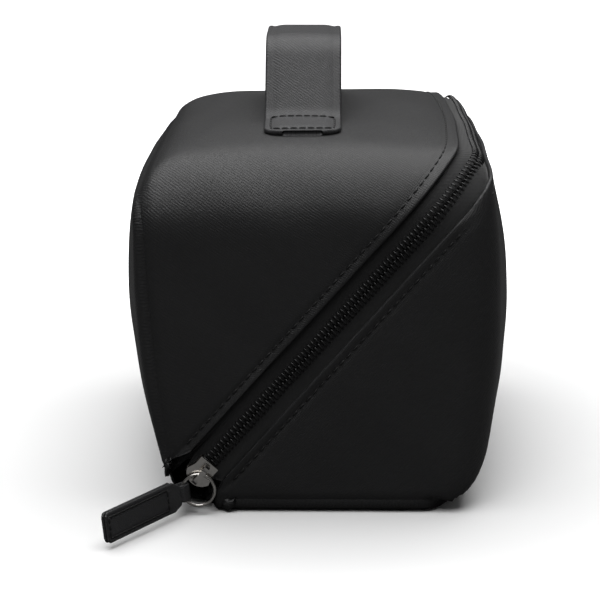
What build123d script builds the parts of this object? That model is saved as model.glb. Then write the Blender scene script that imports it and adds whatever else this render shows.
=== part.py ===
"""A leatherette cosmetic case that opens along one slanting zip.

The zip lies in a plane that runs down the length of the case.  It leaves a lid above it
and a base below it, hinged along the low left edge.  X is the width, Y the length and
Z up.  The end with the zip slider faces -Y, and the case stands on z = 0.
"""

import os
from functools import lru_cache
from math import atan2, cos, degrees, radians, sin, tan

from build123d import *

os.makedirs("parts", exist_ok=True)

# Outline of the case over its leather, in millimetres
case_length = 224.0
floor_left = -61.0
floor_right = 70.0
top_left_x = -76.0
top_left_z = 150.0
top_right_x = 73.0
top_right_z = 155.0
side_bow_ends = 2.5
side_bow_middle = 13.0
crown_ends = 3.0
crown_middle = 14.0
ridge_end_height = 154.0
ridge_middle_height = 163.0
bottom_left_radius = 26.6
bottom_right_radius = 44.6
top_right_radius = 36.0
top_left_radius = 65.0
end_bend_radius = 32.0
end_foot_radius = 7.0
left_corner_radius = 5.0
right_corner_radius = 14.0
end_overrun = 3.0
floor_overrun = 0.4
rounding_margin = 1.5

# Slanting plane of the zip, through one point of the near end
zip_angle = 48.5
zip_point_x = -49.2
zip_point_z = 18.4

# Layers of the wall, from the outside in
leather = 1.2
layer_play = 0.1
tape = 0.6
foam = 2.5
board = 0.8
lining = 0.5

# Zip and the leather edges that flank it
zip_gap_half = 8.7
tape_half_width = 15.0
tape_play = 0.15
padding_margin = 11.0
coil_pitch = 2.1
coil_tip = 0.2
coil_cross = 0.3
coil_half_width = 2.7
coil_cord = 0.9
coil_proud = 0.3
zip_start = 6.0
stop_length = 2.4
hinge_height = 4.6
hinge_end_margin = 14.0
bottom_seam_height = 6.0
left_seam_foot = -57.5
left_seam_top = -71.0

# Stiffening boards, held back from the sides and the ends
board_side_margin = 30.0
board_end_margin = 38.0

# Slider, its bail, the ring and the leather puller
slider_length = 12.0
slider_tail_width = 9.3
slider_width = 12.0
slider_shoulder = 2.0
slider_plate = 1.2
slider_back_thickness = 0.8
slider_play = 0.3
slider_rail = 1.0
slider_rail_length = 8.0
bail_width = 2.2
bail_length = 9.6
bail_thickness = 1.1
ring_radius = 7.0
ring_wire = 1.45
ring_wire_sides = 8
ring_play = 1.1
ring_direction = 262.0
puller_direction = 188.5
puller_swing = 62.0
puller_length = 52.0
puller_width = 12.6
puller_neck = 7.0
puller_leather = 1.2
puller_filler = 0.6
puller_loop_play = 1.1
puller_shoulder_run = 4.5
puller_margin = 2.5
puller_corner = 1.5

# Carrying handle across the middle of the top
handle_x = -6.0
handle_width = 34.0
handle_tab_end = 74.0
handle_tab_inner = 36.0
handle_foot_half_span = 46.0
handle_crest_half_span = 24.0
handle_rise = 31.0
handle_skin = 1.1
handle_filler = 0.8
handle_end_radius = 9.0
handle_bend_radius = 12.0

half_length = case_length / 2
handle_thickness = 2 * handle_skin + handle_filler
reach = 2 * case_length
along_zip = Vector(cos(radians(zip_angle)), 0, sin(radians(zip_angle)))
to_lid = Vector(-sin(radians(zip_angle)), 0, cos(radians(zip_angle)))
zip_origin = Vector(zip_point_x, 0, zip_point_z)
zip_plane = Plane(origin=zip_origin, x_dir=along_zip, z_dir=to_lid)
hinge_x = zip_point_x - (zip_point_z - hinge_height) / tan(radians(zip_angle))

tape_depth = leather + layer_play
foam_depth = tape_depth + tape + layer_play
board_depth = foam_depth + foam + layer_play
lining_depth = board_depth + board + layer_play


def zip_at(distance, y=0.0):
    """A point in the zip plane, at a distance up the zip from the hinge line."""
    hinge_point = Vector(hinge_x, y, hinge_height)
    return hinge_point + along_zip * distance


def finish(piece, name):
    """Name a finished piece and write it out."""
    piece.part.label = name
    export_step(piece.part, f"parts/{name}.step")


def corner(sketch, x, y):
    """The corner of a sketch nearest to a point."""
    return sketch.vertices().sort_by_distance(Vector(x, y, 0))[0]


def cross_section(y, bow, crown, depth, rounded=False):
    """Outline of the case across its length: four bowed sides and sharp corners.

    The rounded outline stands off from the sharp one by a margin, so only its corners cut.
    """
    with BuildSketch(Plane.XZ.offset(-y)) as outline:
        with BuildLine():
            Line((floor_left, -floor_overrun), (floor_right, -floor_overrun))
            side_x = (floor_right + top_right_x) / 2 + bow
            ThreePointArc(
                (floor_right, -floor_overrun),
                (side_x, top_right_z / 2),
                (top_right_x, top_right_z),
            )
            middle_x = (top_left_x + top_right_x) / 2
            middle_z = (top_left_z + top_right_z) / 2 + crown
            ThreePointArc(
                (top_right_x, top_right_z), (middle_x, middle_z), (top_left_x, top_left_z)
            )
            side_x = (floor_left + top_left_x) / 2 - bow
            ThreePointArc(
                (top_left_x, top_left_z),
                (side_x, top_left_z / 2),
                (floor_left, -floor_overrun),
            )
        make_face()
        if rounded:
            offset(amount=rounding_margin - depth, kind=Kind.INTERSECTION)
            fillet(corner(outline, floor_left, 0), bottom_left_radius - depth)
            fillet(corner(outline, floor_right, 0), bottom_right_radius - depth)
            fillet(corner(outline, top_right_x, top_right_z), top_right_radius - depth)
            fillet(corner(outline, top_left_x, top_left_z), top_left_radius - depth)
        elif depth:
            offset(amount=-depth, kind=Kind.INTERSECTION)
    return outline.sketch


def plan_outline(depth):
    """Outline of the case from above: bowed sides, square left and round right corners."""
    left_at_end = top_left_x - side_bow_ends
    right_at_end = top_right_x + side_bow_ends
    left_edge = top_left_x - 2 * side_bow_middle
    right_edge = top_right_x + 2 * side_bow_middle
    with BuildSketch(Plane.XY.offset(-reach / 2)) as plan:
        with BuildLine():
            Line((left_at_end, -half_length), (right_at_end, -half_length))
            ThreePointArc(
                (right_at_end, -half_length), (right_edge, 0), (right_at_end, half_length)
            )
            Line((right_at_end, half_length), (left_at_end, half_length))
            ThreePointArc(
                (left_at_end, half_length), (left_edge, 0), (left_at_end, -half_length)
            )
        make_face()
        for end in (-half_length, half_length):
            fillet(corner(plan, left_at_end, end), left_corner_radius)
            fillet(corner(plan, right_at_end, end), right_corner_radius)
        if depth:
            offset(amount=-depth, kind=Kind.INTERSECTION)
    return plan.sketch


def side_outline(depth):
    """Outline of the case from its side: upright ends bent over into a crowned top."""
    with BuildSketch(Plane.YZ.offset(-reach / 2)) as side_view:
        with BuildLine():
            Polyline(
                (-half_length, ridge_end_height),
                (-half_length, 0),
                (half_length, 0),
                (half_length, ridge_end_height),
            )
            ThreePointArc(
                (-half_length, ridge_end_height),
                (0, ridge_middle_height),
                (half_length, ridge_end_height),
            )
        make_face()
        for end in (-half_length, half_length):
            fillet(corner(side_view, end, 0), end_foot_radius)
            fillet(corner(side_view, end, ridge_end_height), end_bend_radius)
        if depth:
            offset(amount=-depth, kind=Kind.INTERSECTION)
    return side_view.sketch


@lru_cache(maxsize=None)
def case_solid(depth):
    """The whole case as one solid, drawn in from the leather by a depth."""
    past_end = half_length + end_overrun
    rounding = cross_section(-past_end, side_bow_middle, crown_middle, depth, rounded=True)
    with BuildPart() as whole:
        loft(
            (
                cross_section(-past_end, side_bow_ends, crown_ends, depth),
                cross_section(0, side_bow_middle, crown_middle, depth),
                cross_section(past_end, side_bow_ends, crown_ends, depth),
            )
        )
        extrude(rounding, amount=-2 * past_end, mode=Mode.INTERSECT)
        extrude(plan_outline(depth), amount=reach, mode=Mode.INTERSECT)
        extrude(side_outline(depth), amount=reach, mode=Mode.INTERSECT)
    return whole.part


@lru_cache(maxsize=None)
def layer(outer_depth, inner_depth):
    """One closed skin of the wall, between two depths."""
    with BuildPart() as skin:
        add(case_solid(outer_depth))
        add(case_solid(inner_depth), mode=Mode.SUBTRACT)
    return skin.part


def above_zip(distance):
    """Keep what lies on the lid's side of the zip, past a distance."""
    split(bisect_by=zip_plane.offset(distance), keep=Keep.TOP)


def below_zip(distance):
    """Keep what lies on the base's side of the zip, past a distance."""
    split(bisect_by=zip_plane.offset(-distance), keep=Keep.BOTTOM)


# Seam between the left side panel and the strip that wraps the ends and the top
seam_lean = degrees(atan2(left_seam_foot - left_seam_top, top_left_z))
left_seam = Plane(
    origin=(left_seam_foot, 0, 0),
    x_dir=(0, 1, 0),
    z_dir=(-cos(radians(seam_lean)), 0, -sin(radians(seam_lean))),
)

# Lid leather: one strip over the near end, the top and the far end
with BuildPart() as lid_wrap_panel:
    add(layer(0, leather))
    above_zip(zip_gap_half)
    split(bisect_by=left_seam, keep=Keep.BOTTOM)
finish(lid_wrap_panel, "lid_wrap_panel")

# Lid leather: the bulging left side
with BuildPart() as lid_left_panel:
    add(layer(0, leather))
    above_zip(zip_gap_half)
    split(bisect_by=left_seam, keep=Keep.TOP)
finish(lid_left_panel, "lid_left_panel")

bottom_seam = Plane(origin=(0, 0, bottom_seam_height), z_dir=(0, 0, 1))

# Base leather: one strip round the near end, the right side and the far end
with BuildPart() as base_wrap_panel:
    add(layer(0, leather))
    below_zip(zip_gap_half)
    split(bisect_by=bottom_seam, keep=Keep.TOP)
finish(base_wrap_panel, "base_wrap_panel")

# Base leather: the bottom, with its edges turned up to the seam
with BuildPart() as base_bottom_panel:
    add(layer(0, leather))
    below_zip(zip_gap_half)
    split(bisect_by=bottom_seam, keep=Keep.BOTTOM)
finish(base_bottom_panel, "base_bottom_panel")

# Leather hinge along the low left edge, between the two zip ends
with BuildPart() as hinge_strip:
    add(layer(0, leather))
    split(bisect_by=zip_plane.offset(zip_gap_half), keep=Keep.BOTTOM)
    split(bisect_by=zip_plane.offset(-zip_gap_half), keep=Keep.TOP)
    with Locations(((floor_left + top_left_x) / 2, 0, 0)):
        Box(
            2 * zip_gap_half + 2 * (floor_left - top_left_x),
            case_length - 2 * hinge_end_margin,
            4 * zip_gap_half,
            mode=Mode.INTERSECT,
        )
finish(hinge_strip, "hinge_strip")


def wall_layer(outer_depth, thickness, name, side):
    """One inner layer of the lid or the base, ending short of the zip."""
    with BuildPart() as skin:
        add(layer(outer_depth, outer_depth + thickness))
        side(padding_margin)
    finish(skin, name)
    return skin


wall_layer(foam_depth, foam, "lid_foam", above_zip)
wall_layer(foam_depth, foam, "base_foam", below_zip)
wall_layer(lining_depth, lining, "lid_lining", above_zip)
wall_layer(lining_depth, lining, "base_lining", below_zip)

# Stiffening boards between foam and lining, under the top and over the floor
board_size = (
    top_right_x - top_left_x - 2 * board_side_margin,
    case_length - 2 * board_end_margin,
)
with BuildPart() as top_board:
    add(layer(board_depth, board_depth + board))
    with Locations(((top_left_x + top_right_x) / 2, 0, ridge_middle_height)):
        Box(*board_size, ridge_middle_height, mode=Mode.INTERSECT)
finish(top_board, "top_board")

with BuildPart() as floor_board:
    add(layer(board_depth, board_depth + board))
    with Locations(((floor_left + floor_right) / 2, 0, 0)):
        Box(*board_size, ridge_middle_height, mode=Mode.INTERSECT)
finish(floor_board, "floor_board")


def zip_tape(side, name):
    """Half of the zip tape, sewn under one leather edge."""
    with BuildPart() as half:
        add(layer(tape_depth, tape_depth + tape))
        side(tape_play)
        if side is above_zip:
            split(bisect_by=zip_plane.offset(tape_half_width), keep=Keep.BOTTOM)
        else:
            split(bisect_by=zip_plane.offset(-tape_half_width), keep=Keep.TOP)
        tape_foot = Plane(origin=zip_at(zip_start), z_dir=along_zip)
        split(bisect_by=tape_foot, keep=Keep.TOP)
    finish(half, name)


zip_tape(above_zip, "zip_tape_lid")
zip_tape(below_zip, "zip_tape_base")

# Line of the coil where the zip plane cuts the case, and the slider's place on it
coil_depth = (leather - coil_proud) / 2
coil_height = leather + coil_proud
coil_line = section(case_solid(coil_depth), section_by=zip_plane).faces()[0].outer_wire()
coil_start = zip_start + stop_length + 2 * slider_play
slider_up_zip = (zip_point_z - hinge_height) / sin(radians(zip_angle))
slider_tail = slider_up_zip + slider_length / 2
lid_coil_start = slider_tail + 2 * slider_play
coil_inner = coil_half_width - coil_cord
gap_overcut = 1.2
half_pitch = 0.5
near_cord = {1: Keep.TOP, -1: Keep.BOTTOM}


def up_zip(spot):
    """How far up the zip a point lies from the hinge line."""
    return (spot - zip_at(0)).dot(along_zip)


def gap_places(shift):
    """Where the gaps between teeth stand on the coil line, shifted by a share of a pitch."""
    count = round(coil_line.length / coil_pitch)
    places = []
    for k in range(count):
        share = (k + shift) / count
        spot = coil_line.position_at(share)
        if up_zip(spot) > coil_start - coil_pitch:
            tangent = coil_line.tangent_at(share)
            places.append(Plane(origin=spot, x_dir=tangent, z_dir=to_lid))
    return places


def tooth_gap(toward):
    """The wedge between two teeth: narrow at the cord, wide where the teeth end."""
    depth = (coil_inner + coil_cross) * gap_overcut
    half_width = (coil_pitch - coil_tip) / 2 * gap_overcut
    with BuildPart() as wedge:
        with BuildSketch(Plane.XZ):
            with BuildLine():
                Polyline(
                    (0, toward * coil_inner),
                    (half_width, toward * (coil_inner - depth)),
                    (-half_width, toward * (coil_inner - depth)),
                    close=True,
                )
            make_face()
        extrude(amount=coil_height, both=True)
    return wedge.part


def coil_row(toward, places):
    """One row of coil past the zip's start: a cord along the tape and a row of teeth."""
    with BuildPart() as row:
        add(layer(-coil_proud, leather))
        split(bisect_by=zip_plane.offset(-toward * coil_cross), keep=near_cord[toward])
        split(bisect_by=zip_plane.offset(toward * coil_half_width), keep=near_cord[-toward])
        split(bisect_by=Plane(origin=zip_at(coil_start), z_dir=along_zip), keep=Keep.TOP)
        wedge = tooth_gap(toward).solid()
        add([place.location * wedge for place in places], mode=Mode.SUBTRACT)
    return row.part.solid()


whole_lid_row = coil_row(1, gap_places(0))


def near_end_block(top):
    """Block round the coil of the near end, from below its start up to a height."""
    block_plane = Plane(
        origin=zip_at(top, -half_length), x_dir=(0, 1, 0), z_dir=along_zip
    )
    with BuildPart(block_plane) as block:
        Box(
            2 * slider_width,
            2 * slider_width,
            slider_length + slider_tail,
            align=(Align.CENTER, Align.CENTER, Align.MAX),
        )
    return block.part


with BuildPart() as zip_coil_lid:
    add(whole_lid_row)
    add(near_end_block(lid_coil_start), mode=Mode.SUBTRACT)
finish(zip_coil_lid, "zip_coil_lid")

# The few teeth of the lid's row that lie inside the parked slider
with BuildPart() as zip_coil_parked:
    add(whole_lid_row)
    add(near_end_block(lid_coil_start - slider_play), mode=Mode.INTERSECT)
finish(zip_coil_parked, "zip_coil_parked")

with BuildPart() as zip_coil_base:
    add(coil_row(-1, gap_places(half_pitch)))
finish(zip_coil_base, "zip_coil_base")

# Stops clamped across the coil at both ends of the zip
with BuildPart() as zip_end_stops:
    add(layer(-coil_proud, leather))
    split(bisect_by=Plane(origin=zip_at(zip_start), z_dir=along_zip), keep=Keep.TOP)
    stop_end = Plane(origin=zip_at(zip_start + stop_length), z_dir=along_zip)
    split(bisect_by=stop_end, keep=Keep.BOTTOM)
    split(bisect_by=zip_plane.offset(-coil_half_width), keep=Keep.TOP)
    split(bisect_by=zip_plane.offset(coil_half_width), keep=Keep.BOTTOM)
    keep_ends = 2 * (half_length - coil_height - 2 * coil_proud)
    Box(reach, keep_ends, reach, mode=Mode.SUBTRACT)
finish(zip_end_stops, "zip_end_stops")

# The slider stands on the near end.  Its own X runs up the zip and its Z points outward.
face_point = zip_at(slider_up_zip, -half_length)
slider_plane = Plane(origin=face_point, x_dir=along_zip, z_dir=(0, -1, 0))
plate_under = coil_proud + slider_play
plate_top = plate_under + slider_plate
rail_inner = coil_half_width + slider_play
tape_face = -tape_depth
back_plate_top = -(tape_depth + tape + slider_play)


def slider_outline(plane):
    """Flat shape of a slider plate: square tail up the zip and a rounded nose."""
    half = slider_length / 2
    with BuildSketch(plane) as flat:
        with BuildLine():
            Polyline(
                (-slider_shoulder, slider_width / 2),
                (slider_shoulder, slider_tail_width / 2),
                (half, slider_tail_width / 2),
                (half, -slider_tail_width / 2),
                (slider_shoulder, -slider_tail_width / 2),
                (-slider_shoulder, -slider_width / 2),
            )
            ThreePointArc(
                (-slider_shoulder, -slider_width / 2),
                (-half, 0),
                (-slider_shoulder, slider_width / 2),
            )
        make_face()
    return flat.sketch


with BuildPart() as slider_body:
    extrude(slider_outline(slider_plane.offset(plate_under)), amount=slider_plate)
    rail_drop = plate_top - (tape_face + slider_play)
    rail_middle = rail_inner + slider_rail / 2
    with BuildSketch(slider_plane.offset(plate_top - rail_drop)):
        with Locations((0, rail_middle), (0, -rail_middle)):
            Rectangle(slider_rail_length, slider_rail)
    extrude(amount=rail_drop)
finish(slider_body, "slider_body")

with BuildPart() as slider_back_plate:
    back_plate_plane = slider_plane.offset(back_plate_top - slider_back_thickness)
    extrude(slider_outline(back_plate_plane), amount=slider_back_thickness)
finish(slider_back_plate, "slider_back_plate")

# Bail: a small arched bridge on the slider that holds the ring
bail_opening = ring_wire + 2 * ring_play
bail_plane = Plane(
    origin=face_point + Vector(0, -plate_top, 0) + to_lid * (bail_width / 2),
    x_dir=along_zip,
    z_dir=-to_lid,
)


def bail_arch(half, height, radius):
    """Side view of an arch that stands on the slider plate."""
    with BuildSketch(bail_plane) as side:
        with BuildLine():
            FilletPolyline(
                (-half, 0), (-half, height), (half, height), (half, 0), radius=radius
            )
            Line((half, 0), (-half, 0))
        make_face()
    return side.sketch


bail_outer = bail_arch(
    bail_length / 2, bail_opening + bail_thickness, bail_thickness + ring_wire
)
bail_inner = bail_arch(bail_length / 2 - bail_thickness, bail_opening, ring_wire)
with BuildPart() as slider_bail:
    extrude(bail_outer, amount=bail_width)
    extrude(bail_inner, amount=bail_width, mode=Mode.SUBTRACT)
finish(slider_bail, "slider_bail")

# Ring: round wire that hangs through the bail, flat against the near end
ring_stand = plate_top + ring_play + ring_wire / 2
ring_pivot = face_point + Vector(0, -ring_stand, 0)


def on_ring(angle):
    """Direction from the ring's centre, in its own plane, at an angle above +X."""
    return Vector(cos(radians(angle)), 0, sin(radians(angle)))


ring_centre = ring_pivot + on_ring(ring_direction) * ring_radius
with BuildPart() as pull_ring:
    with BuildSketch(Plane(origin=ring_centre, x_dir=(1, 0, 0), z_dir=(0, 0, 1))):
        with Locations((ring_radius, 0)):
            RegularPolygon(ring_wire / 2, ring_wire_sides)
    revolve(axis=Axis(ring_centre, (0, 1, 0)))
finish(pull_ring, "pull_ring")

# Puller: leather folded round the ring's wire and sewn flat on itself.  Its own X runs
# out along the strap, its Z across the strap's width.
puller_pivot = ring_centre + on_ring(puller_direction) * ring_radius
puller_across = on_ring(puller_direction - 90)
puller_along = on_ring(puller_direction) * cos(radians(puller_swing))
puller_along += Vector(0, -sin(radians(puller_swing)), 0)
puller_edge_plane = Plane(origin=puller_pivot, x_dir=puller_along, z_dir=puller_across)
puller_face_plane = Plane(
    origin=puller_pivot, x_dir=puller_along, z_dir=puller_across.cross(puller_along)
)
loop_inner = ring_wire / 2 + puller_loop_play
loop_outer = loop_inner + puller_leather
puller_thickness = 2 * puller_leather + puller_filler
puller_shoulder = loop_outer + puller_shoulder_run
filler_length = puller_length - puller_shoulder - puller_margin
filler_width = puller_width - 2 * puller_margin


with BuildPart() as puller_strap:
    with BuildSketch(puller_edge_plane):
        Circle(loop_outer)
    extrude(amount=puller_neck / 2, both=True)
    with BuildSketch(puller_face_plane) as strap_face:
        with BuildLine():
            Polyline(
                (loop_inner, -puller_neck / 2),
                (puller_shoulder, -puller_width / 2),
                (puller_length, -puller_width / 2),
                (puller_length, puller_width / 2),
                (puller_shoulder, puller_width / 2),
                (loop_inner, puller_neck / 2),
                close=True,
            )
        make_face()
        free_end = strap_face.vertices().group_by(Axis.X)[-1]
        fillet(free_end, puller_corner)
    extrude(amount=puller_thickness / 2, both=True)
    with BuildSketch(puller_edge_plane):
        Circle(loop_inner)
    extrude(amount=puller_width, both=True, mode=Mode.SUBTRACT)
    with Locations(puller_face_plane):
        with Locations((puller_shoulder + filler_length / 2, 0, 0)):
            Box(filler_length, filler_width, puller_filler, mode=Mode.SUBTRACT)
finish(puller_strap, "puller_strap")

with BuildPart() as puller_core:
    with Locations(puller_face_plane):
        with Locations((puller_shoulder + filler_length / 2, 0, 0)):
            Box(filler_length, filler_width, puller_filler)
finish(puller_core, "puller_core")

# Handle: one padded strap, sewn down at both ends and arched over the middle of the top
crest_height = ridge_middle_height + handle_rise


def arch(plane, depth, thickness):
    """Side view of the arched strap, or of a layer inside it."""
    with BuildSketch(plane) as band:
        with BuildLine():
            FilletPolyline(
                (-handle_foot_half_span, ridge_middle_height - handle_rise),
                (-handle_foot_half_span, ridge_middle_height),
                (-handle_crest_half_span, crest_height),
                (handle_crest_half_span, crest_height),
                (handle_foot_half_span, ridge_middle_height),
                (handle_foot_half_span, ridge_middle_height - handle_rise),
                radius=handle_bend_radius,
            )
            Line(
                (handle_foot_half_span, ridge_middle_height - handle_rise),
                (-handle_foot_half_span, ridge_middle_height - handle_rise),
            )
        make_face()
        if depth:
            offset(amount=-depth)
        offset(amount=-thickness, mode=Mode.SUBTRACT)
    return band.sketch


tab_length = handle_tab_end - handle_tab_inner
handle_side = Plane.YZ.offset(handle_x)
with BuildPart() as tabs:
    with BuildSketch() as tab_plan:
        for end in (-1, 1):
            with Locations((handle_x, end * (handle_tab_end - tab_length / 2))):
                Rectangle(handle_width, tab_length)
        ends = tab_plan.vertices().group_by(Axis.Y)
        fillet(ends[0] + ends[-1], handle_end_radius)
    extrude(amount=reach)
    add(layer(-handle_thickness, 0), mode=Mode.INTERSECT)

with BuildPart() as handle_core:
    core_depth = handle_skin
    extrude(
        arch(handle_side, core_depth, handle_filler),
        amount=handle_width / 2 - handle_skin - puller_margin,
        both=True,
    )
    split(bisect_by=Plane.XY.offset(ridge_middle_height + handle_thickness), keep=Keep.TOP)

with BuildPart() as handle_strap:
    extrude(arch(handle_side, 0, handle_thickness), amount=handle_width / 2, both=True)
    add(case_solid(0), mode=Mode.SUBTRACT)
    split(bisect_by=Plane.XY.offset(ridge_end_height), keep=Keep.TOP)
    add(tabs.part)
    add(handle_core.part, mode=Mode.SUBTRACT)
finish(handle_strap, "handle_strap")
finish(handle_core, "handle_core")

# Thin plates under the top leather that the handle's ends are sewn through
with BuildPart() as handle_backing:
    add(layer(tape_depth, tape_depth + tape))
    with Locations(
        (handle_x, handle_tab_end - tab_length / 2, ridge_middle_height),
        (handle_x, tab_length / 2 - handle_tab_end, ridge_middle_height),
    ):
        Box(handle_width, tab_length, ridge_middle_height, mode=Mode.INTERSECT)
finish(handle_backing, "handle_backing")
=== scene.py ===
"""Dressed model of a leatherette cosmetic case with a slanting zip.

Lengths are in millimetres in the case's own frame, and turn into metres when a mesh or a
light is made.  X is the width, Y the length and Z up.  The zip's slider faces -Y.
"""

import math

import bpy
import numpy as np
from mathutils import Matrix, Vector


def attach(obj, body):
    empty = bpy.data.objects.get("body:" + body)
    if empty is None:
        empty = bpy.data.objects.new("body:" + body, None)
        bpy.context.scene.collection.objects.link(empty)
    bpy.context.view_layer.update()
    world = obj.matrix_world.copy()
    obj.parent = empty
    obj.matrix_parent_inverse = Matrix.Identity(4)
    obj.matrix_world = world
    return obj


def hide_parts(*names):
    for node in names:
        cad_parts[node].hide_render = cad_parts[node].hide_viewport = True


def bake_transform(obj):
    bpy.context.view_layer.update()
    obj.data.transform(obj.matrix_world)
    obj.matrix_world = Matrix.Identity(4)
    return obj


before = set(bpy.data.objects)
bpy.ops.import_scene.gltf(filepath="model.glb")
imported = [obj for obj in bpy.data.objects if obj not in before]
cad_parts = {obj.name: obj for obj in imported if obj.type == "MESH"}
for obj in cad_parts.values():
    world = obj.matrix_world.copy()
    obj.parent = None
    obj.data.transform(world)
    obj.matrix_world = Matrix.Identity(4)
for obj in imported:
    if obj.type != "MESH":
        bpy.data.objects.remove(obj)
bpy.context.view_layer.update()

MM = 0.001

# Outline of the case
HALF_LENGTH = 112.0
FLOOR_LEFT, FLOOR_RIGHT = -61.0, 70.0
TOP_LEFT_X, TOP_LEFT_Z = -76.0, 150.0
TOP_RIGHT_X, TOP_RIGHT_Z = 73.0, 155.0
LEFT_BOW_ENDS, LEFT_BOW_MIDDLE = 5.5, 18.0
RIGHT_BOW_ENDS, RIGHT_BOW_MIDDLE = 5.0, 17.0
CROWN_ENDS, CROWN_MIDDLE = 3.0, 14.0
RIDGE_END, RIDGE_MIDDLE = 154.0, 163.0
BOTTOM_LEFT_R, BOTTOM_RIGHT_R, TOP_RIGHT_R, TOP_LEFT_R = 12.0, 27.0, 9.0, 20.0
END_BEND_R, END_FOOT_R, LEFT_CORNER_R, RIGHT_CORNER_R = 32.0, 7.0, 5.0, 14.0

# Zip plane: a point is HINGE + up * ALONG + across * TO_LID + y * Y
ZIP_ANGLE = math.radians(48.5)
ALONG = np.array([math.cos(ZIP_ANGLE), 0.0, math.sin(ZIP_ANGLE)])
TO_LID = np.array([-math.sin(ZIP_ANGLE), 0.0, math.cos(ZIP_ANGLE)])
HINGE = np.array([-61.41, 0.0, 4.6])
ZIP_GAP = 8.7
ZIP_START = 6.0
COIL_PITCH = 2.1
STITCH_PITCH = 4.3
STITCH_INSET = 4.2
LEATHER = 1.9

# Puffed leather: depth or height and width of each feature
SEAM_PINCH, SEAM_PINCH_WIDTH = 1.5, 2.4
FOOT_PINCH, FOOT_PINCH_WIDTH = 0.7, 1.6
WAVE_HEIGHT = 0.35
STITCH_DIP, STITCH_DIP_WIDTH = 0.42, 1.3
TURNED_EDGE, TURNED_EDGE_PLACE, TURNED_EDGE_WIDTH = 0.35, 0.8, 2.2

# Seams
SEAM_FOOT, SEAM_LEAN, SEAM_CURVE = -60.0, -0.155, 0.00043
SEAM_NORMAL = np.array([0.995, 0.0, 0.0995])
BOTTOM_SEAM = 6.0


def seam_x(z):
    """X of the left seam at a height: a slightly curved line that leans out."""
    return SEAM_FOOT + SEAM_LEAN * z + SEAM_CURVE * z * z


def step(value, low, high):
    """Smooth rise from 0 at low to 1 at high."""
    t = np.clip((value - low) / (high - low), 0.0, 1.0)
    return t * t * (3.0 - 2.0 * t)


def soft_max(a, b, width):
    """The larger of two fields, blended where they differ by less than a width."""
    near = np.maximum(width - np.abs(a - b), 0.0) / width
    return np.maximum(a, b) + near * near * width / 4.0


def round_meet(a, b, radius):
    """Field of the corner where two walls meet, rounded by a radius."""
    outside = np.hypot(np.maximum(a + radius, 0.0), np.maximum(b + radius, 0.0))
    return np.minimum(np.maximum(a, b) + radius, 0.0) + outside - radius


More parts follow.
